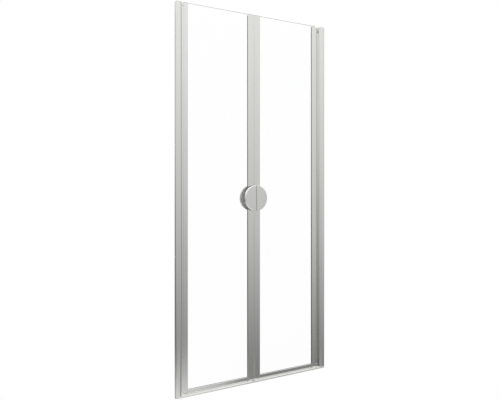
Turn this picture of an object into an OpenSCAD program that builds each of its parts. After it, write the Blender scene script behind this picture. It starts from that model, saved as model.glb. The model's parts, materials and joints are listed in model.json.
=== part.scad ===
// Two-leaf swing door for a shower niche.
// Two glazed leaves turn on pivots beside the wall profiles and meet in the middle over a low threshold.
// X runs along the niche, the outside of the shower is at -Y, Z is up.
// The origin lies on the tray, in the middle of the threshold, and the pivot axes lie in the plane Y = 0.

/* [Niche] */
// Clear width between the two walls
niche_w = 880; // [760:10:1000]
// Height of the wall profiles with their caps above the shower tray
frame_h = 1850; // [1700:10:2000]

/* [Threshold] */
// Distance from the pivot plane to the threshold's front and rear edges
sill_reach = 32; // [30:1:40]
// Height of the threshold's flat top
sill_h = 7; // [6.5:0.5:10]
// Height of the threshold's rear edge, where the inner slope ends
sill_rear_h = 3; // [2.5:0.5:4]
// Size of the bevel along the threshold's front top edge
sill_bevel = 1; // [1:0.25:2.5]
// Plan radius of the threshold's front corners
sill_corner_r = 12; // [6:1:14]
// Plan radius of the threshold's rear corners
sill_rear_r = 14; // [10:1:16]
// Width of each adhesive tape under the threshold
tape_w = 12; // [8:1:14]
// Thickness of the adhesive tapes
tape_t = 1; // [0.8:0.1:1.5]

/* [Wall profile] */
// Width of the wall profile, seen from the front
wall_w = 33; // [31:0.5:38]
// Depth of the side that lies on the wall
wall_d = 14.5; // [13.5:0.5:17]
// How far the wall profile's front stands forward of the leaves' faces
wall_proud = 20.5; // [19:0.5:24]
// Thickness of the wall profile's shell
wall_t = 1.6; // [1.2:0.1:2]
// Thickness of the web that is screwed to the wall
wall_web_t = 2.4; // [2:0.1:3]
// Radius of the wall profile's outer front edge
wall_edge_r = 6; // [3:0.5:7]
// Radius of the rounding that faces the opening
wall_round_r = 11.5; // [8:0.5:12]
// Length of the straight lip behind that rounding
wall_lip = 1; // [0.6:0.2:1.6]

/* [Wall fixing] */
// Diameter of the holes for the wall screws
wall_hole_d = 5; // [4:0.5:5.5]
// Number of wall screws in each profile
wall_hole_count = 4; // [3:1:6]
// Distance from each end of the wall profile to its nearest wall screw
wall_hole_inset = 130.5; // [80:0.5:200]

/* [Wall cap] */
// Height of the cap that closes the wall profile at the top
cap_h = 16; // [12:1:22]
// Thickness of the cap's top plate
cap_plate_t = 3; // [2:0.5:4]
// Radius of the cap's outer top corner
cap_corner_r = 4; // [2:1:8]
// Length of the peg that holds the cap in the profile
cap_peg_l = 12; // [8:1:16]

/* [Hinge channel] */
// Width of the channel that carries the pivots
channel_w = 12; // [11:0.5:12.5]
// Distance from the pivot plane to the channel's rear face
channel_rear = 9; // [8:0.5:11]
// Thickness of the channel's walls
channel_t = 1.5; // [1.2:0.1:1.8]
// Thickness of the channel's wall towards the leaf
channel_face_t = 4; // [3.5:0.25:4.5]
// How far the channel's face stays behind the wall profile's edge
channel_setback = 0.6; // [0.4:0.1:0.8]
// Width of the tongue that slides in the wall profile
tongue_w = 8; // [7:0.5:8.5]
// Sliding clearance between the channel and the wall profile
slide_gap = 0.2; // [0.1:0.05:0.3]
// Diameter of the screws that lock the channel in the wall profile
lock_screw_d = 3.9; // [3.5:0.1:4.2]
// Number of locking screws on each side
lock_screw_count = 3; // [2:1:5]

/* [Leaf frame] */
// How far the leaves stand above the wall profiles
leaf_rise = 6; // [2:1:8]
// Depth of the leaf's profiles
leaf_t = 14.5; // [14:0.5:18]
// Gap between an open leaf and the wall profile beside it
swing_gap = 0.5; // [0.4:0.1:1.5]
// Width of the hinge stile, from the pivot axis to the glass
hinge_stile_w = 30; // [28:0.5:40]
// Width of each closing stile
closing_stile_w = 33; // [30:0.5:40]
// Width of the seam between the two closing stiles
seam_w = 5; // [4.5:0.25:7]
// Thickness of the glass
glass_t = 6; // [5:0.5:6.5]
// How far the glass reaches into the frame
glass_bite = 11.5; // [9:0.5:12]
// Thickness of the glazing gaskets
gasket_t = 1; // [0.8:0.1:1.2]
// Wall thickness of the leaf's profiles
stile_t = 1.5; // [1.2:0.1:1.8]
// Radius of the profiles' outer edges
stile_edge_r = 1.2; // [0.6:0.2:1.4]
// Height of the bottom rail
rail_h = 15.5; // [10:0.5:22]
// Gap between the leaf and the threshold, which the sweep seal closes
leaf_lift = 1.5; // [1:0.25:3]
// Thickness of the stiles' end caps
end_cap_t = 2; // [1.5:0.25:3]
// Length of the pegs on the end caps
end_peg_l = 10; // [6:1:14]

/* [Line between tube and stile] */
// Width of the shallow groove that sets the hinge tube off from the flat stile
line_w = 1.6; // [0.8:0.1:2]
// Depth of that groove
line_depth = 1; // [0.4:0.1:1]

/* [Pivots] */
// Diameter of the pivot pins
pin_d = 8; // [7:0.5:8.5]
// Radial running clearance between a pin and its bush
pin_play = 0.05; // [0.03:0.01:0.08]
// Length of a pin inside the leaf
pin_reach = 17; // [12:1:22]
// Height of the bottom pivot block
bottom_block_h = 14; // [11:1:18]
// Height of the top pivot block
top_block_h = 10; // [9:1:14]
// Radius of the pivot blocks' rounded end
block_r = 10; // [9.9:0.1:12]
// Clearance between a pivot block and the leaf that turns round it
block_gap = 0.5; // [0.4:0.1:1]
// Free height above the leaf's hinge tube, below the top pivot block
lift_gap = 2.5; // [2.2:0.1:6]
// Thickness of the thrust washer under each leaf
washer_t = 1; // [0.8:0.1:1.5]
// Running clearance above the thrust washer
washer_gap = 0.3; // [0.2:0.05:0.5]
// Length of the bushes
bush_l = 16; // [12:1:20]
// Thickness of the bushes' flanges
bush_flange_t = 1.5; // [1:0.25:1.75]
// Diameter of the screws that hold the pivot blocks
block_screw_d = 3.5; // [3:0.5:4]

/* [Seals] */
// Gap between a seal's lip and what it runs on
seal_gap = 0.3; // [0.2:0.05:0.4]
// Width of the foot that holds the sweep seal in the rail
sweep_w = 4; // [3:0.5:5]
// Height of the foot that holds the sweep seal
sweep_foot_h = 2.5; // [2:0.25:3]
// Width of the bulb with which the sweep seal fills the gap above the threshold
sweep_bulb_w = 12.5; // [8:0.5:14]
// Width of the magnetic seals' heads
magnet_head_w = 13; // [11:0.5:14]
// Gap between the two magnetic seals when the leaves are closed
magnet_gap = 0.6; // [0.4:0.1:1]
// Width of the hinge seals' feet
hinge_seal_w = 3.2; // [2.8:0.2:4]
// Depth of the hinge seals' feet
hinge_seal_d = 2.2; // [1.8:0.1:2.6]
// Distance from the pivot plane to the rear edge of the hinge seals' strips
hinge_seal_rear = 8; // [5:0.5:8]

/* [Handles] */
// Diameter of the disc that the two half-disc handles form
handle_d = 130; // [110:2:150]
// Thickness of the half discs
handle_t = 11.5; // [10:0.5:14]
// Gap between a half disc and the stile behind it
handle_standoff = 11.5; // [9:0.5:12]
// Gap between the half discs of the two leaves
handle_seam = 2.3; // [2.2:0.1:4]
// Rounding between a half disc's outer face and its rim
handle_edge_r = 4; // [1:0.5:5]
// Rounding between a half disc's inner face and its rim
handle_back_r = 1; // [0.5:0.25:3]
// Height of the handles' centre above the tray
handle_z = 927; // [850:1:1000]
// Distance between the two bolts of a handle
bolt_pitch = 60; // [40:2:72]
// Diameter of the handle bolts
bolt_d = 5; // [4:0.5:6]
// Diameter of the spacer sleeves
spacer_d = 12; // [10:0.5:14]

/* [Hidden] */

// Distance by which a cut runs past the surface that it opens
past = 1;
// Steps in each rounded corner of an extruded outline
corner_steps = 8;

// Places across the niche, as distances from the left wall
pivot_u = wall_w + swing_gap + leaf_t / 2;
hinge_edge_u = pivot_u + hinge_stile_w;
closing_edge_u = niche_w / 2 - seam_w / 2;
closing_glass_u = closing_edge_u - closing_stile_w;
channel_u = wall_w - channel_setback - channel_w;
channel_face_u = wall_w - channel_setback;

// Places from front to back
wall_front = leaf_t / 2 + wall_proud;
wall_rear = wall_front - wall_d;
round_u = wall_w - wall_round_r;
round_y = wall_front - wall_round_r;
lip_y = round_y - wall_lip;
shoulder_gap = 0.5;
shoulder_y = lip_y - shoulder_gap;
tongue_y = wall_rear + wall_t + slide_gap;
cover_seam_y = wall_front - wall_edge_r;
wall_hole_y = (cover_seam_y + wall_rear + wall_t) / 2;
pocket_half = glass_t / 2 + gasket_t;

// Places above the tray
leaf_z = sill_h + leaf_lift;
leaf_top = frame_h + leaf_rise;
profile_low = leaf_z + end_cap_t;
profile_high = leaf_top - end_cap_t;
profile_top = frame_h - cap_h;
channel_top = frame_h - cap_plate_t;
bottom_block_top = sill_h + bottom_block_h;
bush_flange_z = bottom_block_top + washer_t + washer_gap;
bottom_notch_top = bush_flange_z + bush_flange_t;
top_block_z = frame_h - top_block_h;
top_notch_z = top_block_z - lift_gap;
rail_pocket_z = leaf_z + sweep_foot_h + stile_t;
glass_z = rail_pocket_z + gasket_t;

// Sections of the profiles
pocket_d = glass_bite + gasket_t;
tube_bore_r = leaf_t / 2 - stile_t;
line_u = pivot_u + leaf_t / 2 - line_w / 2;
chamber_u = line_u + line_w;
chamber_half = leaf_t / 2 - stile_t;
seal_slot_d = 4;
seal_slot_mouth = 1.5;
seal_foot_half = 4.5;
seal_mouth_half = 2.5;
magnet_t = 1.2;
magnet_skin = 0.4;

// Handles
handle_face = leaf_t / 2 + handle_standoff + handle_t;
bolt_u = closing_edge_u - (closing_stile_w - pocket_d) / 2;
bolt_fit = 0.1;
bolt_head_r = 4.5;
bolt_head_h = 5;
bolt_engage = 7;

function arc(centre, r, from, to) = [
    for (i = [0 : corner_steps])
        let (a = from + (to - from) * i / corner_steps) centre + r * [cos(a), sin(a)]
];

function rounded_box(x0, x1, y0, y1, r) = concat(
    arc([x1 - r, y1 - r], r, 0, 90), arc([x0 + r, y1 - r], r, 90, 180),
    arc([x0 + r, y0 + r], r, 180, 270), arc([x1 - r, y0 + r], r, 270, 360));

// Heights at which count pieces are spread evenly from low to high
function spread(low, high, count) = [for (i = [0 : count - 1]) low + (high - low) * i / (count - 1)];

module from_left_wall() {
    translate([-niche_w / 2, 0, 0]) children();
}

// Extrudes a plan section from one height to another
module rise(low, high) {
    translate([0, 0, low]) linear_extrude(height = high - low) children();
}

// Extrudes a section drawn in Y and Z along X
module run(u0, u1) {
    translate([u0, 0, 0]) rotate([90, 0, 90]) linear_extrude(height = u1 - u0) children();
}

// Cylinder along Y from y0 to y1
module bar_y(u, z, r, y0, y1) {
    translate([u, y0, z]) rotate([-90, 0, 0]) cylinder(r = r, h = y1 - y0, $fn = 48);
}

// Cylinder along X from u0 to u1
module bar_x(u0, u1, z, r) {
    translate([u0, 0, z]) rotate([0, 90, 0]) cylinder(r = r, h = u1 - u0, $fn = 48);
}

module slab(x0, x1, half) {
    translate([x0, -half]) square([x1 - x0, 2 * half]);
}

module at_pivot() {
    translate([pivot_u, 0]) children();
}

// Threshold

// Plan of the threshold, which reaches the walls in front and ends beside the hinge channels behind
module sill_plan() {
    front = niche_w / 2;
    rear = niche_w / 2 - channel_u;
    polygon(concat(
        arc([sill_corner_r - front, sill_corner_r - sill_reach], sill_corner_r, 180, 270),
        arc([front - sill_corner_r, sill_corner_r - sill_reach], sill_corner_r, 270, 360),
        [[front, -wall_rear], [rear, -wall_rear]],
        arc([rear - sill_rear_r, sill_reach - sill_rear_r], sill_rear_r, 0, 90),
        arc([sill_rear_r - rear, sill_reach - sill_rear_r], sill_rear_r, 90, 180),
        [[-rear, -wall_rear], [-front, -wall_rear]]));
}

module threshold_profile() {
    color("silver") difference() {
        intersection() {
            run(-niche_w / 2, niche_w / 2) polygon([
                [-sill_reach, 0], [sill_reach, 0], [sill_reach, sill_rear_h], [channel_rear + 2, sill_h],
                [-sill_reach + sill_bevel, sill_h], [-sill_reach, sill_h - sill_bevel]]);
            rise(0, sill_h) sill_plan();
        }
        for (side = [-1, 1]) tape(side, past);
    }
}

// One tape between the threshold and the tray, or the groove that it lies in
module tape(side, below) {
    centre = side * (sill_reach - sill_corner_r - tape_w / 2);
    reach = niche_w / 2 - channel_u - tape_w / 2;
    translate([-reach, centre - tape_w / 2, -below]) cube([2 * reach, tape_w, tape_t + below]);
}

module threshold_tapes() {
    color("dimgray") for (side = [-1, 1]) tape(side, 0);
}

// Wall profile, hinge channel and cap

module wall_outline() {
    polygon(concat(
        [[0, -wall_rear]], arc([wall_edge_r, wall_edge_r - wall_front], wall_edge_r, 180, 270),
        arc([round_u, -round_y], wall_round_r, 270, 360), [[wall_w, -lip_y], [wall_w, -wall_rear]]));
}

module wall_inside() {
    inner_r = wall_round_r - wall_t;
    edge_r = wall_edge_r - wall_t;
    polygon(concat(
        [[wall_web_t, -wall_rear - wall_t]],
        arc([wall_web_t + edge_r, wall_t + edge_r - wall_front], edge_r, 180, 270),
        arc([round_u, -round_y], inner_r, 270, 360),
        [[wall_w - wall_t, -lip_y], [wall_w + past, -lip_y], [wall_w + past, past - wall_rear],
        [channel_u - slide_gap, past - wall_rear], [channel_u - slide_gap, -wall_rear - wall_t]]));
}

module channel_outline(grow) {
    front_r = wall_round_r - wall_t - slide_gap + grow;
    polygon(concat(
        [[channel_u - grow, channel_rear + grow], [channel_u - grow, -round_y - front_r]],
        arc([round_u, -round_y], front_r, 270, 360),
        [[round_u + front_r, -shoulder_y - grow], [channel_face_u + grow, -shoulder_y - grow],
        [channel_face_u + grow, channel_rear + grow]]));
}

module tongue_outline(grow) {
    translate([channel_u - tongue_w - grow, -tongue_y - channel_t - grow])
        square([tongue_w + channel_t / 2 + grow, channel_t + 2 * grow]);
}

// Part of the wall profile's section that is screwed to the wall and holds the hinge channel
module wall_base() {
    translate([0, -cover_seam_y]) square([channel_u, cover_seam_y - wall_rear]);
}

module wall_shell() {
    difference() {
        wall_outline();
        wall_inside();
    }
}

module left_wall_profile() {
    color("silver") from_left_wall() difference() {
        rise(sill_h, profile_top) intersection() {
            wall_shell();
            wall_base();
        }
        for (z = spread(sill_h + wall_hole_inset, profile_top - wall_hole_inset, wall_hole_count))
            translate([0, -wall_hole_y, 0]) bar_x(-past, wall_web_t + past, z, wall_hole_d / 2);
        lock_screw_places() bar_y(0, 0, lock_screw_d / 2 + bolt_fit, -tongue_y, past - wall_rear);
    }
}

// Cover strip that hides the wall screws
module left_wall_cover() {
    color("silver") from_left_wall() rise(sill_h, profile_top) difference() {
        wall_shell();
        wall_base();
    }
}

module left_hinge_channel() {
    color("silver") from_left_wall() difference() {
        rise(sill_h, channel_top) union() {
            difference() {
                channel_outline(0);
                channel_hollow();
                translate([channel_face_u - hinge_seal_d, -hinge_seal_w / 2])
                    square([hinge_seal_d + past, hinge_seal_w]);
            }
            tongue_outline(0);
        }
        lock_screw_places() bar_y(0, 0, lock_screw_d / 2, -tongue_y - channel_t - past, past - tongue_y);
        for (z = block_screw_z())
            bar_x(channel_u - past, channel_face_u + past, z, block_screw_d / 2 + bolt_fit);
    }
}

module channel_hollow() {
    inner_r = wall_round_r - wall_t - slide_gap - channel_t;
    face_u = channel_face_u - channel_face_t;
    intersection() {
        translate([channel_u + channel_t, -wall_front])
            square([channel_w, wall_front + channel_rear - channel_t]);
        polygon(concat(
            [[channel_u, channel_rear], [channel_u, -round_y - inner_r]],
            arc([round_u, -round_y], inner_r, 270, 340), [[face_u, -lip_y], [face_u, channel_rear]]));
    }
}

module left_wall_cap() {
    color("silver") from_left_wall() intersection() {
        union() {
            rise(profile_top, channel_top) difference() {
                wall_outline();
                channel_outline(slide_gap);
                tongue_outline(slide_gap);
            }
            rise(channel_top, frame_h) union() {
                wall_outline();
                channel_outline(0);
            }
            rise(profile_top - cap_peg_l, profile_top + past)
                translate([wall_edge_r + slide_gap, wall_t + slide_gap - wall_front])
                    square([channel_u - wall_web_t - wall_edge_r, wall_front - tongue_y - 4 * wall_t]);
        }
        translate([0, channel_rear, 0]) rotate([90, 0, 0])
            linear_extrude(height = wall_front + channel_rear) polygon(concat(
                [[0, 0], [wall_w, 0], [wall_w, frame_h]],
                arc([cap_corner_r, frame_h - cap_corner_r], cap_corner_r, 90, 180)));
    }
}

// Strip that covers the channel's face beside the leaf's hinge tube, with its foot in the channel's groove
module left_hinge_seal() {
    strip_u = pivot_u - leaf_t / 2 - seal_gap;
    color("gainsboro") from_left_wall() rise(bottom_block_top + seal_gap, top_block_z - seal_gap) union() {
        slab(channel_face_u - hinge_seal_d, channel_face_u, hinge_seal_w / 2);
        translate([channel_face_u, -shoulder_y])
            square([strip_u - channel_face_u, shoulder_y + hinge_seal_rear]);
    }
}

module lock_screw_places() {
    for (z = spread(sill_h + wall_hole_inset / 2, profile_top - wall_hole_inset / 2, lock_screw_count))
        translate([channel_u - tongue_w / 2, 0, z]) children();
}

module locking_screws() {
    head_h = 2.2;
    tip = 2.5;
    color("lightgray") for (side = [0, 1]) mirror([side, 0, 0]) from_left_wall()
        lock_screw_places() union() {
            bar_y(0, 0, lock_screw_d / 2, -tongue_y - channel_t - tip, -wall_rear);
            bar_y(0, 0, lock_screw_d * 0.9, -wall_rear, head_h - wall_rear);
        }
}

// Pivots

module block_section() {
    intersection() {
        union() {
            at_pivot() circle(r = block_r, $fn = 64);
            slab(channel_face_u, pivot_u, leaf_t / 2);
        }
        slab(channel_face_u, pivot_u + block_r, leaf_t / 2);
    }
}

function block_screw_z() = [sill_h + bottom_block_h / 2, (top_block_z + channel_top) / 2];

// A pivot block with the bore for its pin and the tapped hole for its screw
module pivot_block(low, high, bore_low, bore_high, screw_z) {
    color("silver") from_left_wall() difference() {
        rise(low, high) block_section();
        rise(bore_low, bore_high) at_pivot() circle(r = pin_d / 2, $fn = 64);
        bar_x(channel_face_u - past, pivot_u - pin_d / 2 - pin_play, screw_z, block_screw_d / 2);
    }
}

module left_bottom_pivot_block() {
    pivot_block(sill_h, bottom_block_top, leaf_z, bottom_block_top + past, block_screw_z()[0]);
}

module left_top_pivot_block() {
    pivot_block(top_block_z, frame_h, top_block_z - past, frame_h + past, block_screw_z()[1]);
}

module block_screws() {
    head_h = 2;
    color("lightgray") for (side = [0, 1]) mirror([side, 0, 0]) from_left_wall()
        for (z = block_screw_z()) union() {
            bar_x(channel_u, pivot_u - pin_d / 2 - pin_play, z, block_screw_d / 2);
            bar_x(channel_u - head_h, channel_u, z, block_screw_d * 0.9);
        }
}

module pivot_pin(low, high) {
    color("lightgray") from_left_wall() rise(low, high) at_pivot() circle(r = pin_d / 2, $fn = 64);
}

module left_bottom_pivot_pin() {
    pivot_pin(leaf_z, bottom_notch_top + pin_reach);
}

module left_top_pivot_pin() {
    pivot_pin(top_notch_z - pin_reach, frame_h);
}

module left_thrust_washer() {
    color("whitesmoke") from_left_wall() rise(bottom_block_top, bottom_block_top + washer_t) at_pivot()
        difference() {
            circle(r = leaf_t / 2 - 0.5, $fn = 64);
            circle(r = pin_d / 2, $fn = 64);
        }
}

module left_pivot_bushes() {
    color("whitesmoke") from_left_wall() {
        bush(bottom_notch_top, bottom_notch_top + bush_l, bush_flange_z, bottom_notch_top);
        bush(top_notch_z - bush_l, top_notch_z, top_notch_z, top_notch_z + bush_flange_t);
    }
}

module bush(low, high, flange_low, flange_high) {
    difference() {
        union() {
            rise(low, high) at_pivot() circle(r = tube_bore_r, $fn = 64);
            rise(flange_low, flange_high) at_pivot() circle(r = leaf_t / 2 - 0.2, $fn = 64);
        }
        rise(min(low, flange_low) - past, max(high, flange_high) + past)
            at_pivot() circle(r = pin_d / 2 + pin_play, $fn = 64);
    }
}

// Leaf

module hinge_stile_outline() {
    at_pivot() circle(r = leaf_t / 2, $fn = 64);
    polygon(rounded_box(pivot_u, hinge_edge_u, -leaf_t / 2, leaf_t / 2, stile_edge_r));
    slab(pivot_u, line_u, leaf_t / 2);
}

module hinge_notches() {
    for (z = [[leaf_z - past, bottom_notch_top], [top_notch_z, leaf_top + past]])
        rise(z[0], z[1]) at_pivot() union() {
            circle(r = block_r + block_gap, $fn = 64);
            translate([-leaf_t, -leaf_t]) square([leaf_t, 2 * leaf_t]);
        }
}

module left_hinge_stile() {
    color("silver") from_left_wall() difference() {
        rise(profile_low, profile_high) difference() {
            hinge_stile_outline();
            at_pivot() circle(r = tube_bore_r, $fn = 64);
            slab(chamber_u, hinge_edge_u - pocket_d - stile_t, chamber_half);
            slab(hinge_edge_u - pocket_d, hinge_edge_u + past, pocket_half);
            for (face = [-1, 1])
                translate([line_u - line_w / 2, face * leaf_t / 2 - line_depth])
                    square([line_w, 2 * line_depth]);
        }
        hinge_notches();
    }
}

module left_hinge_stile_caps() {
    color("darkgray") from_left_wall() difference() {
        union() {
            rise(leaf_z, profile_low) hinge_stile_outline();
            rise(profile_high, leaf_top) hinge_stile_outline();
        }
        glass_way(hinge_edge_u - glass_bite, hinge_edge_u + past);
        hinge_notches();
    }
}

// Space that the glass needs through an end cap
module glass_way(u0, u1) {
    rise(glass_z, leaf_top + past) slab(u0, u1, glass_t / 2);
}

module closing_outline() {
    polygon(rounded_box(closing_glass_u, closing_edge_u, -leaf_t / 2, leaf_t / 2, stile_edge_r));
}

module closing_chamber() {
    slab(closing_glass_u + pocket_d + stile_t, closing_edge_u - seal_slot_d - stile_t, chamber_half);
}

module left_closing_stile() {
    color("silver") from_left_wall() difference() {
        rise(profile_low, profile_high) difference() {
            closing_outline();
            slab(closing_glass_u - past, closing_glass_u + pocket_d, pocket_half);
            closing_chamber();
            slab(closing_edge_u - seal_slot_d, closing_edge_u - seal_slot_mouth, seal_foot_half);
            slab(closing_edge_u - seal_slot_d, closing_edge_u + past, seal_mouth_half);
        }
        bolt_places() bar_y(0, 0, bolt_d / 2 + bolt_fit, -leaf_t, leaf_t);
    }
}

// Peg that holds an end cap in the closing stile
module closing_peg() {
    fit = stile_t + slide_gap;
    slab(closing_glass_u + pocket_d + fit, closing_edge_u - seal_slot_d - fit, chamber_half - slide_gap);
}

module left_closing_stile_caps() {
    color("darkgray") from_left_wall() difference() {
        union() {
            rise(leaf_z, profile_low) closing_outline();
            rise(profile_high, leaf_top) closing_outline();
            rise(leaf_z, profile_low + end_peg_l) closing_peg();
            rise(profile_high - end_peg_l, leaf_top) closing_peg();
        }
        glass_way(closing_glass_u - past, closing_glass_u + glass_bite);
    }
}

module left_glass() {
    color("lightcyan", 0.35) from_left_wall() rise(glass_z, leaf_top)
        slab(hinge_edge_u - glass_bite, closing_glass_u + glass_bite, glass_t / 2);
}

module left_hinge_gasket() {
    color("gainsboro") from_left_wall() rise(profile_low, profile_high) difference() {
        slab(hinge_edge_u - pocket_d, hinge_edge_u, pocket_half);
        slab(hinge_edge_u - glass_bite, hinge_edge_u + past, glass_t / 2);
    }
}

module left_closing_gasket() {
    color("gainsboro") from_left_wall() rise(profile_low, profile_high) difference() {
        slab(closing_glass_u, closing_glass_u + pocket_d, pocket_half);
        slab(closing_glass_u - past, closing_glass_u + glass_bite, glass_t / 2);
    }
}

module left_bottom_rail() {
    color("silver") from_left_wall() run(hinge_edge_u, closing_glass_u) difference() {
        polygon(rounded_box(-leaf_t / 2, leaf_t / 2, leaf_z, leaf_z + rail_h, stile_edge_r));
        translate([-pocket_half, rail_pocket_z]) square([2 * pocket_half, rail_h]);
        translate([-sweep_w / 2, leaf_z - past]) square([sweep_w, sweep_foot_h + past]);
    }
}

module left_rail_gasket() {
    color("gainsboro") from_left_wall() run(hinge_edge_u, closing_glass_u) difference() {
        translate([-pocket_half, rail_pocket_z]) square([2 * pocket_half, leaf_z + rail_h - rail_pocket_z]);
        translate([-glass_t / 2, glass_z]) square([glass_t, rail_h]);
    }
}

module left_sweep_seal() {
    color("gainsboro") from_left_wall() run(hinge_edge_u, closing_glass_u) union() {
        translate([-sweep_w / 2, leaf_z]) square([sweep_w, sweep_foot_h]);
        translate([-sweep_bulb_w / 2, sill_h + seal_gap]) square([sweep_bulb_w, leaf_lift - seal_gap]);
    }
}

module magnet_place() {
    slab(niche_w / 2 - magnet_gap / 2 - magnet_skin - magnet_t, niche_w / 2 - magnet_gap / 2 - magnet_skin,
        magnet_head_w / 2 - 2 * magnet_skin);
}

module left_magnetic_seal() {
    foot_fit = 0.1;
    foot_u = closing_edge_u - seal_slot_d + foot_fit;
    color("gainsboro") from_left_wall() rise(profile_low, profile_high) difference() {
        union() {
            slab(foot_u, closing_edge_u - seal_slot_mouth, seal_foot_half - foot_fit);
            slab(foot_u, closing_edge_u, seal_mouth_half);
            slab(closing_edge_u, niche_w / 2 - magnet_gap / 2, magnet_head_w / 2);
        }
        magnet_place();
    }
}

module left_magnet_strip() {
    color("dimgray") from_left_wall() rise(profile_low, profile_high) magnet_place();
}

// Handles

module bolt_places() {
    for (z = [-1, 1]) translate([bolt_u, 0, handle_z + z * bolt_pitch / 2]) children();
}

// Half disc in front of the left leaf, with its outer face at -handle_face
module half_disc() {
    r = handle_d / 2;
    edge = handle_edge_r;
    back = handle_back_r;
    difference() {
        translate([niche_w / 2, handle_t - handle_face, handle_z]) rotate([90, 0, 0])
            rotate_extrude($fn = 96) polygon(concat(
                [[0, 0]], arc([r - back, back], back, 270, 360),
                arc([r - edge, handle_t - edge], edge, 0, 90), [[0, handle_t]]));
        translate([niche_w / 2 - handle_seam / 2, -handle_face - past, handle_z - r - past])
            cube([r + past + handle_seam, handle_t + 2 * past, 2 * r + 2 * past]);
    }
}

module left_front_handle() {
    inner = handle_face - handle_t;
    color("silver") from_left_wall() difference() {
        half_disc();
        bolt_places() bar_y(0, 0, bolt_d / 2, -inner - bolt_engage, past - inner);
    }
}

module left_back_handle() {
    inner = handle_face - handle_t;
    seat = handle_face - bolt_head_h - bolt_fit;
    color("silver") from_left_wall() difference() {
        mirror([0, 1, 0]) half_disc();
        bolt_places() union() {
            bar_y(0, 0, bolt_d / 2 + bolt_fit, inner - past, handle_face);
            bar_y(0, 0, bolt_head_r + 2 * bolt_fit, seat, handle_face + past);
        }
    }
}

module left_handle_spacers() {
    color("silver") from_left_wall() bolt_places() for (side = [0, 1]) mirror([0, side, 0]) difference() {
        bar_y(0, 0, spacer_d / 2, leaf_t / 2, leaf_t / 2 + handle_standoff);
        bar_y(0, 0, bolt_d / 2 + bolt_fit, leaf_t / 2 - past, leaf_t / 2 + handle_standoff + past);
    }
}

module left_handle_bolts() {
    inner = handle_face - handle_t;
    seat = handle_face - bolt_head_h - bolt_fit;
    color("lightgray") from_left_wall() bolt_places() difference() {
        union() {
            bar_y(0, 0, bolt_d / 2, -inner - bolt_engage, seat);
            bar_y(0, 0, bolt_head_r, seat, seat + bolt_head_h);
        }
        translate([0, seat + bolt_head_h / 2, 0]) rotate([-90, 0, 0])
            cylinder(r = bolt_d / 2, h = bolt_head_h, $fn = 6);
    }
}

// The right-hand pieces mirror the left-hand ones

module right_wall_profile() mirror([1, 0, 0]) left_wall_profile();
module right_wall_cover() mirror([1, 0, 0]) left_wall_cover();
module right_wall_cap() mirror([1, 0, 0]) left_wall_cap();
module right_hinge_channel() mirror([1, 0, 0]) left_hinge_channel();
module right_hinge_seal() mirror([1, 0, 0]) left_hinge_seal();
module right_bottom_pivot_block() mirror([1, 0, 0]) left_bottom_pivot_block();
module right_top_pivot_block() mirror([1, 0, 0]) left_top_pivot_block();
module right_bottom_pivot_pin() mirror([1, 0, 0]) left_bottom_pivot_pin();
module right_top_pivot_pin() mirror([1, 0, 0]) left_top_pivot_pin();
module right_thrust_washer() mirror([1, 0, 0]) left_thrust_washer();
module right_glass() mirror([1, 0, 0]) left_glass();
module right_hinge_stile() mirror([1, 0, 0]) left_hinge_stile();
module right_closing_stile() mirror([1, 0, 0]) left_closing_stile();
module right_bottom_rail() mirror([1, 0, 0]) left_bottom_rail();
module right_hinge_gasket() mirror([1, 0, 0]) left_hinge_gasket();
module right_closing_gasket() mirror([1, 0, 0]) left_closing_gasket();
module right_rail_gasket() mirror([1, 0, 0]) left_rail_gasket();
module right_sweep_seal() mirror([1, 0, 0]) left_sweep_seal();
module right_magnetic_seal() mirror([1, 0, 0]) left_magnetic_seal();
module right_magnet_strip() mirror([1, 0, 0]) left_magnet_strip();
module right_pivot_bushes() mirror([1, 0, 0]) left_pivot_bushes();
module right_hinge_stile_caps() mirror([1, 0, 0]) left_hinge_stile_caps();
module right_closing_stile_caps() mirror([1, 0, 0]) left_closing_stile_caps();
module right_front_handle() mirror([1, 0, 0]) left_front_handle();
module right_back_handle() mirror([1, 0, 0]) left_back_handle();
module right_handle_spacers() mirror([1, 0, 0]) left_handle_spacers();
module right_handle_bolts() mirror([1, 0, 0]) left_handle_bolts();

threshold_profile();
threshold_tapes();
left_wall_profile();
right_wall_profile();
left_wall_cover();
right_wall_cover();
left_wall_cap();
right_wall_cap();
left_hinge_channel();
right_hinge_channel();
left_hinge_seal();
right_hinge_seal();
locking_screws();
left_bottom_pivot_block();
right_bottom_pivot_block();
left_top_pivot_block();
right_top_pivot_block();
block_screws();
left_bottom_pivot_pin();
right_bottom_pivot_pin();
left_top_pivot_pin();
right_top_pivot_pin();
left_thrust_washer();
right_thrust_washer();
left_glass();
right_glass();
left_hinge_stile();
right_hinge_stile();
left_closing_stile();
right_closing_stile();
left_bottom_rail();
right_bottom_rail();
left_hinge_gasket();
right_hinge_gasket();
left_closing_gasket();
right_closing_gasket();
left_rail_gasket();
right_rail_gasket();
left_sweep_seal();
right_sweep_seal();
left_magnetic_seal();
right_magnetic_seal();
left_magnet_strip();
right_magnet_strip();
left_pivot_bushes();
right_pivot_bushes();
left_hinge_stile_caps();
right_hinge_stile_caps();
left_closing_stile_caps();
right_closing_stile_caps();
left_front_handle();
right_front_handle();
left_back_handle();
right_back_handle();
left_handle_spacers();
right_handle_spacers();
left_handle_bolts();
right_handle_bolts();
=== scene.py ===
import json
import math

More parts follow.
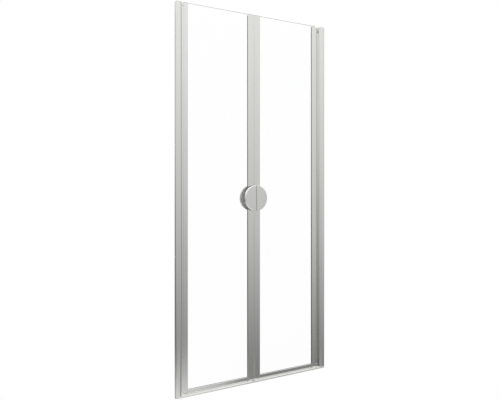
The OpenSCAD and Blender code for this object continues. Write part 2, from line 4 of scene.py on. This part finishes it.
import bpy
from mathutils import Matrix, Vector

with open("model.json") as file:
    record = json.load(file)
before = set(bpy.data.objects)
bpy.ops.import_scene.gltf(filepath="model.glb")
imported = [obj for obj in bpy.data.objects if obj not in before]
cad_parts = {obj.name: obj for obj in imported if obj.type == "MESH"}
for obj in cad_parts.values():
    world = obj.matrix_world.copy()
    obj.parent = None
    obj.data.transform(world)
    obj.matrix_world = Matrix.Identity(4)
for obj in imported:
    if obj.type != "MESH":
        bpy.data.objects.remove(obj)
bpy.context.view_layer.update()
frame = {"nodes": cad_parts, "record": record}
nodes = frame["nodes"]

MM = 0.001

# Camera, solved from the photograph: place, turn to the right, focal length, and shift of the horizon
CAMERA_AT = Vector((-1.5135, -2.4368, 0.997))
CAMERA_YAW = math.radians(-31.5)
FOCAL_PX = 564.0
PICTURE_W_PX = 500.0
SENSOR_MM = 36.0
HORIZON_SHIFT = -0.0316
CLIP_END_M = 50


def make_camera():
    data = bpy.data.cameras.new("camera")
    data.sensor_width = SENSOR_MM
    data.lens = FOCAL_PX / PICTURE_W_PX * SENSOR_MM
    data.shift_y = HORIZON_SHIFT
    data.clip_end = CLIP_END_M
    camera = bpy.data.objects.new("camera", data)
    camera.location = CAMERA_AT
    camera.rotation_euler = (math.radians(90), 0, CAMERA_YAW)
    bpy.context.scene.collection.objects.link(camera)
    bpy.context.scene.camera = camera


def node(tree, kind, **inputs):
    """A new node with some inputs set; an underscore in a name stands for a space."""
    made = tree.nodes.new(kind)
    for name, value in inputs.items():
        made.inputs[name.replace("_", " ")].default_value = value
    return made


def ramp(tree, factor, stops):
    """A colour ramp of grey levels, each with a little less blue."""
    made = tree.nodes.new("ShaderNodeValToRGB")
    made.color_ramp.interpolation = "LINEAR"
    while len(made.color_ramp.elements) < len(stops):
        made.color_ramp.elements.new(0.5)
    for element, (position, level) in zip(made.color_ramp.elements, stops):
        element.position = position
        element.color = (level, level, level * BLUE_SHARE, 1)
    tree.links.new(factor, made.inputs["Fac"])
    return made.outputs["Color"]


def linear(level):
    """Display level 0 to 255 as linear light."""
    share = level / 255
    return share / 12.92 if share <= 0.04045 else ((share + 0.055) / 1.055) ** 2.4


# Brightness of the studio as display levels by elevation in degrees: a light ceiling, darker walls and a
# light floor. Before the door the walls are darker low down at the far left and the right. Behind it they
# are darker towards the left.
FRONT_FAR_LEFT = [(-90, 235), (-21, 225), (-17.5, 120), (-6, 175), (6, 205), (25, 235), (90, 255)]
FRONT_LEFT = [(-90, 235), (-21, 225), (-20, 190), (-16, 140), (-3, 185), (13, 220), (30, 245), (90, 255)]
FRONT_RIGHT = [(-90, 235), (-25, 225), (-22.5, 130), (-18, 120), (-5, 185), (15, 220), (30, 245), (90, 255)]
SIDE = [(-90, 140), (0, 160), (25, 165), (90, 255)]
REAR_LEFT = [(-90, 150), (-20.5, 205), (-16, 100), (-11, 70), (-3, 105), (5, 170), (17.5, 185), (18.5, 235),
             (90, 255)]
REAR_RIGHT = [(-90, 140), (-17, 100), (-5, 150), (6, 190), (16, 205), (17.5, 235), (90, 255)]
# Azimuth in degrees where each part of the room before the door starts, and the width of its soft edge
FRONT_PARTS = [(17.0, 0.03, FRONT_LEFT), (29.5, 0.012, FRONT_RIGHT), (58.0, 0.05, SIDE)]
# Soft edges between the two parts of the room behind the door, and between front and rear
REAR_EDGE = (0.4, 0.6)
FRONT_REAR_EDGE = (-0.25, 0.25)
# Share of the light that the silver metal gives back
METAL_SHARE = 0.905
# Share of blue in the studio's light
BLUE_SHARE = 0.985
# Share of a noise's range over which a finish goes from its low to its high value
NOISE_LOW, NOISE_HIGH = 0.3, 0.7


def room_light(tree, height, stops):
    """The studio's light as a ramp over the sine of the elevation, which runs from -1 to 1."""
    share = node(tree, "ShaderNodeMapRange", From_Min=-1.0, From_Max=1.0)
    tree.links.new(height, share.inputs["Value"])
    return ramp(tree, share.outputs["Result"], [
        ((math.sin(math.radians(degrees)) + 1) / 2, linear(level) / METAL_SHARE) for degrees, level in stops])


def across(tree, direction, x_share, y_share, low, high):
    """Runs from 0 to 1 as the direction turns past the upright plane that the two shares describe."""
    blend = tree.nodes.new("ShaderNodeVectorMath")
    blend.operation = "DOT_PRODUCT"
    blend.inputs[1].default_value = (x_share, y_share, 0)
    tree.links.new(direction, blend.inputs[0])
    share = node(tree, "ShaderNodeMapRange", From_Min=low, From_Max=high)
    tree.links.new(blend.outputs["Value"], share.inputs["Value"])
    return share.outputs["Result"]


def past_azimuth(tree, direction, degrees, spread):
    """Runs from 0 to 1 where the direction, seen from above, turns to the right of the given azimuth."""
    turn = math.radians(degrees)
    return across(tree, direction, math.cos(turn), math.sin(turn), -spread, spread)


def mixed(tree, factor, first, second):
    """The colour between two colours, each a socket."""
    mix = tree.nodes.new("ShaderNodeMix")
    mix.data_type = "RGBA"
    tree.links.new(factor, mix.inputs["Factor"])
    tree.links.new(first, mix.inputs["A"])
    tree.links.new(second, mix.inputs["B"])
    return mix.outputs["Result"]


def maths(tree, operation, first, second):
    """The result of an operation on two values, each a number or a socket."""
    made = tree.nodes.new("ShaderNodeMath")
    made.operation = operation
    for place, value in enumerate((first, second)):
        if isinstance(value, (int, float)):
            made.inputs[place].default_value = value
        else:
            tree.links.new(value, made.inputs[place])
    return made.outputs["Value"]


def make_world():
    """A studio: white for the camera, also through the glass, with light and dark parts for the metal."""
    world = bpy.data.worlds.new("studio")
    bpy.context.scene.world = world
    world.use_nodes = True
    tree = world.node_tree
    tree.nodes.clear()
    direction = tree.nodes.new("ShaderNodeTexCoord").outputs["Generated"]
    parts = tree.nodes.new("ShaderNodeSeparateXYZ")
    tree.links.new(direction, parts.inputs["Vector"])
    height = parts.outputs["Z"]
    front = room_light(tree, height, FRONT_FAR_LEFT)
    for degrees, spread, stops in FRONT_PARTS:
        turned = past_azimuth(tree, direction, degrees, spread)
        front = mixed(tree, turned, front, room_light(tree, height, stops))
    rear = mixed(tree, across(tree, direction, -1, 0, *REAR_EDGE),
                 room_light(tree, height, REAR_LEFT), room_light(tree, height, REAR_RIGHT))
    room = mixed(tree, across(tree, direction, 0, 1, *FRONT_REAR_EDGE), front, rear)
    lit = node(tree, "ShaderNodeBackground", Strength=1.0)
    tree.links.new(room, lit.inputs["Color"])
    white = node(tree, "ShaderNodeBackground", Color=(1, 1, 1, 1), Strength=1.0)
    rays = tree.nodes.new("ShaderNodeLightPath")
    through = maths(tree, "MULTIPLY", rays.outputs["Is Transmission Ray"],
                    maths(tree, "LESS_THAN", rays.outputs["Glossy Depth"], 0.5))
    seen = maths(tree, "MAXIMUM", rays.outputs["Is Camera Ray"], through)
    choice = tree.nodes.new("ShaderNodeMixShader")
    tree.links.new(seen, choice.inputs["Fac"])
    tree.links.new(lit.outputs["Background"], choice.inputs[1])
    tree.links.new(white.outputs["Background"], choice.inputs[2])
    out = tree.nodes.new("ShaderNodeOutputWorld")
    tree.links.new(choice.outputs["Shader"], out.inputs["Surface"])


def start_material(name, **inputs):
    """A material with a principled shader, and the node tree and shader to add detail to."""
    material = bpy.data.materials.new(name)
    material.use_nodes = True
    shader = material.node_tree.nodes["Principled BSDF"]
    for key, value in inputs.items():
        shader.inputs[key.replace("_", " ")].default_value = value
    return material, material.node_tree, shader


def stretched_noise(tree, stretch, scale, detail=4.0):
    """Noise in object space, drawn out by the given factors along X, Y and Z."""
    place = tree.nodes.new("ShaderNodeTexCoord")
    mapping = node(tree, "ShaderNodeMapping", Scale=stretch)
    noise = node(tree, "ShaderNodeTexNoise", Scale=scale, Detail=detail)
    tree.links.new(place.outputs["Object"], mapping.inputs["Vector"])
    tree.links.new(mapping.outputs["Vector"], noise.inputs["Vector"])
    return noise.outputs["Fac"]


def vary(tree, factor, low, high, socket):
    """Feeds a socket with a number that runs from low to high with the factor."""
    spread = node(tree, "ShaderNodeMapRange",
                  From_Min=NOISE_LOW, From_Max=NOISE_HIGH, To_Min=low, To_Max=high)
    tree.links.new(factor, spread.inputs["Value"])
    tree.links.new(spread.outputs["Result"], socket)


def tint(tree, factor, low, high, socket):
    """Feeds a colour socket with a mix of two colours."""
    mix = tree.nodes.new("ShaderNodeMix")
    mix.data_type = "RGBA"
    mix.inputs["A"].default_value = (*low, 1)
    mix.inputs["B"].default_value = (*high, 1)
    tree.links.new(factor, mix.inputs["Factor"])
    tree.links.new(mix.outputs["Result"], socket)


def emboss(tree, shader, height, strength, distance):
    """Feeds the shader's normal with a fine relief."""
    bump = node(tree, "ShaderNodeBump", Strength=strength, Distance=distance)
    tree.links.new(height, bump.inputs["Height"])
    tree.links.new(bump.outputs["Normal"], shader.inputs["Normal"])


def let_through(material, kind):
    """Lets the rays of one kind pass through the surface."""
    tree = material.node_tree
    shader = tree.nodes["Principled BSDF"]
    clear = tree.nodes.new("ShaderNodeBsdfTransparent")
    rays = tree.nodes.new("ShaderNodeLightPath")
    choice = tree.nodes.new("ShaderNodeMixShader")
    out = tree.nodes["Material Output"]
    tree.links.new(rays.outputs[kind], choice.inputs["Fac"])
    tree.links.new(shader.outputs["BSDF"], choice.inputs[1])
    tree.links.new(clear.outputs["BSDF"], choice.inputs[2])
    tree.links.new(choice.outputs["Shader"], out.inputs["Surface"])


def extruded_metal(name, low, high, rough, stretch, metallic=1.0):
    """Anodised aluminium with the fine die lines of an extrusion, drawn out along its length."""
    material, tree, shader = start_material(name, Metallic=metallic)
    lines = stretched_noise(tree, stretch, scale=900.0)
    clouds = stretched_noise(tree, CLOUDY, scale=6.0, detail=2.0)
    tint(tree, clouds, low, high, shader.inputs["Base Color"])
    vary(tree, lines, rough[0], rough[1], shader.inputs["Roughness"])
    emboss(tree, shader, lines, strength=0.12, distance=0.02 * MM)
    return material


def turned_metal(name, low, high, rough, metallic=1.0):
    """Bright metal with fine tool marks."""
    material, tree, shader = start_material(name, Metallic=metallic)
    marks = stretched_noise(tree, EVEN, scale=2500.0)
    tint(tree, marks, low, high, shader.inputs["Base Color"])
    vary(tree, marks, rough[0], rough[1], shader.inputs["Roughness"])
    emboss(tree, shader, marks, strength=0.1, distance=0.02 * MM)
    return material


def moulded(name, low, high, rough, grain=1500.0, **inputs):
    """Moulded plastic or rubber with a fine surface grain."""
    material, tree, shader = start_material(name, **inputs)
    grains = stretched_noise(tree, EVEN, scale=grain)
    tint(tree, grains, low, high, shader.inputs["Base Color"])
    vary(tree, grains, rough[0], rough[1], shader.inputs["Roughness"])
    emboss(tree, shader, grains, strength=0.2, distance=0.05 * MM)
    return material


def clear_pane():
    """Toughened glass: clear with a faint green, and light passes through it to what lies behind."""
    material, tree, shader = start_material("clear_glass", IOR=1.2, Transmission_Weight=1.0)
    haze = stretched_noise(tree, EVEN, scale=3.0, detail=2.0)
    tint(tree, haze, (0.992, 0.998, 0.995), (0.998, 1, 0.999), shader.inputs["Base Color"])
    vary(tree, haze, 0.0, 0.012, shader.inputs["Roughness"])
    let_through(material, "Is Shadow Ray")
    return material


# How much a noise is drawn out along each axis: die lines of upright and level profiles, faint clouds on
# metal, and fine grain
UPRIGHT = (1, 1, 0.004)
ALONG_X = (0.004, 1, 1)
CLOUDY = (1, 1, 0.4)
EVEN = (1, 1, 1)
# Darkest and lightest base colours of the silver metal, the inner handles and the seals. The inner handles'
# colours are the handle silver darkened, painted shade for the shade the back handles stand in behind the
# glass
SILVER = ((0.88, 0.88, 0.87), (0.93, 0.93, 0.92))
INNER_HANDLE_PAINTED_SHADE = ((0.56, 0.56, 0.55), (0.61, 0.61, 0.60))
SEAL = ((0.92, 0.92, 0.91), (0.97, 0.97, 0.96))
finishes = {
    "satin_silver": extruded_metal("satin_silver", *SILVER, (0.08, 0.13), UPRIGHT),
    "satin_silver_rail": extruded_metal("satin_silver_rail", *SILVER, (0.08, 0.13), ALONG_X),
    "satin_silver_sill": extruded_metal("satin_silver_sill", *SILVER, (0.16, 0.2), ALONG_X, metallic=0.55),
    "handle_metal": turned_metal("handle_metal", *SILVER, (0.28, 0.36)),
    # The back handles: a darker, half metallic copy of the handle metal, painted shade
    "handle_metal_inner": turned_metal("handle_metal_inner", *INNER_HANDLE_PAINTED_SHADE, (0.3, 0.4), metallic=0.5),
    "clear_glass": clear_pane(),
    "silver_seal": moulded("silver_seal", *SEAL, (0.1, 0.16), grain=900.0, Metallic=1.0),
    "silver_seal_gasket": moulded("silver_seal_gasket", *SEAL, (0.1, 0.16), grain=900.0, Metallic=1.0),
    "grey_plastic": moulded("grey_plastic", (0.55, 0.55, 0.55), (0.63, 0.63, 0.63), (0.38, 0.5)),
    "bearing_plastic": moulded("bearing_plastic", (0.80, 0.80, 0.77), (0.86, 0.86, 0.84), (0.35, 0.45)),
    "pin_steel": turned_metal("pin_steel", (0.58, 0.58, 0.58), (0.66, 0.66, 0.66), (0.15, 0.25)),
    "screw_steel": turned_metal("screw_steel", (0.55, 0.55, 0.55), (0.64, 0.64, 0.64), (0.18, 0.3)),
    "magnet": moulded("magnet", (0.05, 0.048, 0.048), (0.08, 0.075, 0.075), (0.5, 0.65)),
    "foam_tape": moulded("foam_tape", (0.05, 0.05, 0.05), (0.10, 0.10, 0.10), (0.7, 0.85), grain=400.0),
}
# Finishes that the metal mirrors. It mirrors no profiles, as in the photograph, and no screws, pins or seals
MIRRORED = ("clear_glass", "handle_metal", "handle_metal_inner", "silver_seal_gasket")
for finish, material in finishes.items():
    if finish not in MIRRORED:
        let_through(material, "Is Glossy Ray")
# Endings of node names, and of the finishes that these nodes have
VARIANTS = {
    "threshold_profile": "_sill",
    "bottom_rail": "_rail",
    # The back handles get the darker copy of the handle metal, painted shade
    "back_handle": "_inner",
    "gasket": "_gasket",
}
# Slack around the glass in its gaskets, so that no two surfaces lie in one place
GLASS_SLACK = 0.05 * MM
# Small radius that catches the light, on edges that turn by more than the angle
EDGE_R = 0.25 * MM
EDGE_SEGMENTS = 2
EDGE_ANGLE = math.radians(40)
slot_of = {part["node"]: part["material_slot"] for part in frame["record"]["subparts"]}


def finish_nodes():
    """Gives each node its finish, and its hard edges a small radius that catches the light."""
    for name, thing in nodes.items():
        variant = next((VARIANTS[ending] for ending in VARIANTS if name.endswith(ending)), "")
        finish = slot_of[name] + variant
        thing.data.materials.clear()
        thing.data.materials.append(finishes[finish])
        if finish == "clear_glass":
            slack = thing.modifiers.new("slack", "DISPLACE")
            slack.strength = -GLASS_SLACK
            slack.mid_level = 0
        edge = thing.modifiers.new("edge", "BEVEL")
        edge.width = EDGE_R
        edge.segments = EDGE_SEGMENTS
        edge.limit_method = "ANGLE"
        edge.angle_limit = EDGE_ANGLE
        edge.harden_normals = True


make_camera()
make_world()
finish_nodes()
scene = bpy.context.scene
scene.view_settings.view_transform = "Standard"
